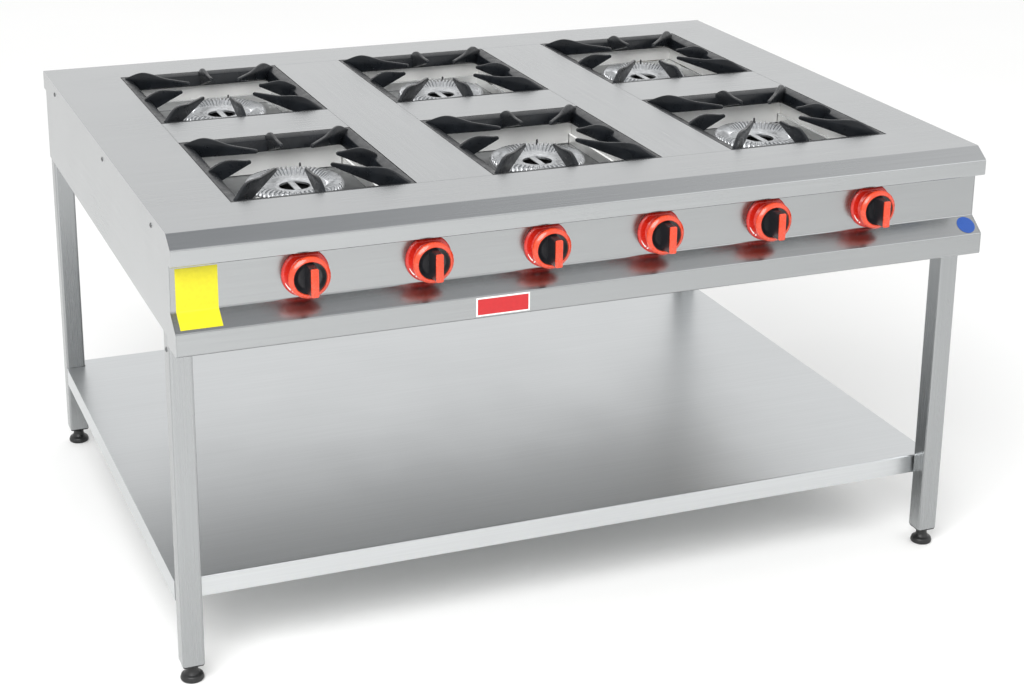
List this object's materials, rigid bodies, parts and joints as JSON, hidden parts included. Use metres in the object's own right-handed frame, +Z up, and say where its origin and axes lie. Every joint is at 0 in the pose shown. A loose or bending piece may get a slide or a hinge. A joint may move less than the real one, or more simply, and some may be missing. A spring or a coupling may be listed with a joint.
{
  "type": "commercial gas range",
  "caption": "Free-standing stainless gas range with open burners, cast-iron pan grates, front control knobs, square-tube legs and a lower shelf.",
  "frame": {"origin": "on the floor, below the centre of the range's box", "axes": "+Z up, front with the knobs at -Y, +X to the right of someone facing +Y"},
  "size_m": [1.56, 1.244, 0.8684],
  "materials": {
    "stainless_sheet": "brushed stainless sheet",
    "stainless_tube": "brushed stainless tube and angle",
    "tray_steel": "stainless spill tray, slightly dulled",
    "enamelled_iron": "cast iron under glossy black enamel",
    "burner_alloy": "cast and nickel-plated burner crown",
    "burner_body_iron": "plain grey iron casting",
    "gas_brass": "drawn brass pipe and fittings",
    "spindle_steel": "plated steel spindle",
    "dial_red": "red moulded dial plate",
    "knob_plastic": "orange skirt and bar with a black face",
    "foot_plastic": "black moulded foot"
  },
  "bodies": {
    "range": {"deck_top": "stainless_sheet", "deck_divider_1": "stainless_sheet", "deck_divider_2": "stainless_sheet", "grate_bridge_1": "stainless_sheet", "grate_bridge_2": "stainless_sheet", "grate_bridge_3": "stainless_sheet", "control_panel": "stainless_sheet", "side_panel_left": "stainless_sheet", "side_panel_right": "stainless_sheet", "back_panel": "stainless_sheet", "lower_shelf": "stainless_sheet", "burner_frame": "stainless_tube", "gas_rail": "gas_brass", "leg_front_left": "stainless_tube", "leg_front_right": "stainless_tube", "leg_rear_left": "stainless_tube", "leg_rear_right": "stainless_tube", "dial_plate_1": "dial_red", "dial_plate_2": "dial_red", "dial_plate_3": "dial_red", "dial_plate_4": "dial_red", "dial_plate_5": "dial_red", "dial_plate_6": "dial_red", "spill_tray_1": "tray_steel", "spill_tray_2": "tray_steel", "spill_tray_3": "tray_steel", "burner_body_front_1": "burner_body_iron", "burner_body_front_2": "burner_body_iron", "burner_body_front_3": "burner_body_iron", "burner_body_rear_1": "burner_body_iron", "burner_body_rear_2": "burner_body_iron", "burner_body_rear_3": "burner_body_iron", "burner_crown_front_1": "burner_alloy", "burner_crown_front_2": "burner_alloy", "burner_crown_front_3": "burner_alloy", "burner_crown_rear_1": "burner_alloy", "burner_crown_rear_2": "burner_alloy", "burner_crown_rear_3": "burner_alloy"},
    "spindle_1": {"valve_spindle_1": "spindle_steel"},
    "control_knob_1": {"knob_1": "knob_plastic"},
    "spindle_2": {"valve_spindle_2": "spindle_steel"},
    "control_knob_2": {"knob_2": "knob_plastic"},
    "spindle_3": {"valve_spindle_3": "spindle_steel"},
    "control_knob_3": {"knob_3": "knob_plastic"},
    "spindle_4": {"valve_spindle_4": "spindle_steel"},
    "control_knob_4": {"knob_4": "knob_plastic"},
    "spindle_5": {"valve_spindle_5": "spindle_steel"},
    "control_knob_5": {"knob_5": "knob_plastic"},
    "spindle_6": {"valve_spindle_6": "spindle_steel"},
    "control_knob_6": {"knob_6": "knob_plastic"},
    "pan_grate_front_1": {"grate_front_1": "enamelled_iron"},
    "pan_grate_front_2": {"grate_front_2": "enamelled_iron"},
    "pan_grate_front_3": {"grate_front_3": "enamelled_iron"},
    "pan_grate_rear_1": {"grate_rear_1": "enamelled_iron"},
    "pan_grate_rear_2": {"grate_rear_2": "enamelled_iron"},
    "pan_grate_rear_3": {"grate_rear_3": "enamelled_iron"},
    "foot_front_left": {"levelling_foot_front_left": "foot_plastic"},
    "foot_front_right": {"levelling_foot_front_right": "foot_plastic"},
    "foot_rear_left": {"levelling_foot_rear_left": "foot_plastic"},
    "foot_rear_right": {"levelling_foot_rear_right": "foot_plastic"}
  },
  "joints": [
    {"name": "knob_1_turn", "type": "hinge", "parent": "range", "child": "spindle_1", "pos_m": [-0.5475, -0.56, 0.756], "axis": [0, -1, 0], "range_deg": [0, 210]},
    {"name": "knob_1_push", "type": "slide", "parent": "spindle_1", "child": "control_knob_1", "axis": [0, 1, 0], "range_m": [0, 0.0035], "stiffness_N_per_m": 900, "springref_m": -0.003},
    {"name": "knob_2_turn", "type": "hinge", "parent": "range", "child": "spindle_2", "pos_m": [-0.3285, -0.56, 0.756], "axis": [0, -1, 0], "range_deg": [0, 210]},
    {"name": "knob_2_push", "type": "slide", "parent": "spindle_2", "child": "control_knob_2", "axis": [0, 1, 0], "range_m": [0, 0.0035], "stiffness_N_per_m": 900, "springref_m": -0.003},
    {"name": "knob_3_turn", "type": "hinge", "parent": "range", "child": "spindle_3", "pos_m": [-0.1095, -0.56, 0.756], "axis": [0, -1, 0], "range_deg": [0, 210]},
    {"name": "knob_3_push", "type": "slide", "parent": "spindle_3", "child": "control_knob_3", "axis": [0, 1, 0], "range_m": [0, 0.0035], "stiffness_N_per_m": 900, "springref_m": -0.003},
    {"name": "knob_4_turn", "type": "hinge", "parent": "range", "child": "spindle_4", "pos_m": [0.1095, -0.56, 0.756], "axis": [0, -1, 0], "range_deg": [0, 210]},
    {"name": "knob_4_push", "type": "slide", "parent": "spindle_4", "child": "control_knob_4", "axis": [0, 1, 0], "range_m": [0, 0.0035], "stiffness_N_per_m": 900, "springref_m": -0.003},
    {"name": "knob_5_turn", "type": "hinge", "parent": "range", "child": "spindle_5", "pos_m": [0.3285, -0.56, 0.756], "axis": [0, -1, 0], "range_deg": [0, 210]},
    {"name": "knob_5_push", "type": "slide", "parent": "spindle_5", "child": "control_knob_5", "axis": [0, 1, 0], "range_m": [0, 0.0035], "stiffness_N_per_m": 900, "springref_m": -0.003},
    {"name": "knob_6_turn", "type": "hinge", "parent": "range", "child": "spindle_6", "pos_m": [0.5475, -0.56, 0.756], "axis": [0, -1, 0], "range_deg": [0, 210]},
    {"name": "knob_6_push", "type": "slide", "parent": "spindle_6", "child": "control_knob_6", "axis": [0, 1, 0], "range_m": [0, 0.0035], "stiffness_N_per_m": 900, "springref_m": -0.003},
    {"name": "grate_front_1_lift", "type": "slide", "parent": "range", "child": "pan_grate_front_1", "axis": [0, 0, 1], "range_m": [0, 0.12]},
    {"name": "grate_front_2_lift", "type": "slide", "parent": "range", "child": "pan_grate_front_2", "axis": [0, 0, 1], "range_m": [0, 0.12]},
    {"name": "grate_front_3_lift", "type": "slide", "parent": "range", "child": "pan_grate_front_3", "axis": [0, 0, 1], "range_m": [0, 0.12]},
    {"name": "grate_rear_1_lift", "type": "slide", "parent": "range", "child": "pan_grate_rear_1", "axis": [0, 0, 1], "range_m": [0, 0.12]},
    {"name": "grate_rear_2_lift", "type": "slide", "parent": "range", "child": "pan_grate_rear_2", "axis": [0, 0, 1], "range_m": [0, 0.12]},
    {"name": "grate_rear_3_lift", "type": "slide", "parent": "range", "child": "pan_grate_rear_3", "axis": [0, 0, 1], "range_m": [0, 0.12]},
    {"name": "foot_front_left_level", "type": "slide", "parent": "range", "child": "foot_front_left", "axis": [0, 0, -1], "range_m": [0, 0.012]},
    {"name": "foot_front_right_level", "type": "slide", "parent": "range", "child": "foot_front_right", "axis": [0, 0, -1], "range_m": [0, 0.012]},
    {"name": "foot_rear_left_level", "type": "slide", "parent": "range", "child": "foot_rear_left", "axis": [0, 0, -1], "range_m": [0, 0.012]},
    {"name": "foot_rear_right_level", "type": "slide", "parent": "range", "child": "foot_rear_right", "axis": [0, 0, -1], "range_m": [0, 0.012]}
  ]
}
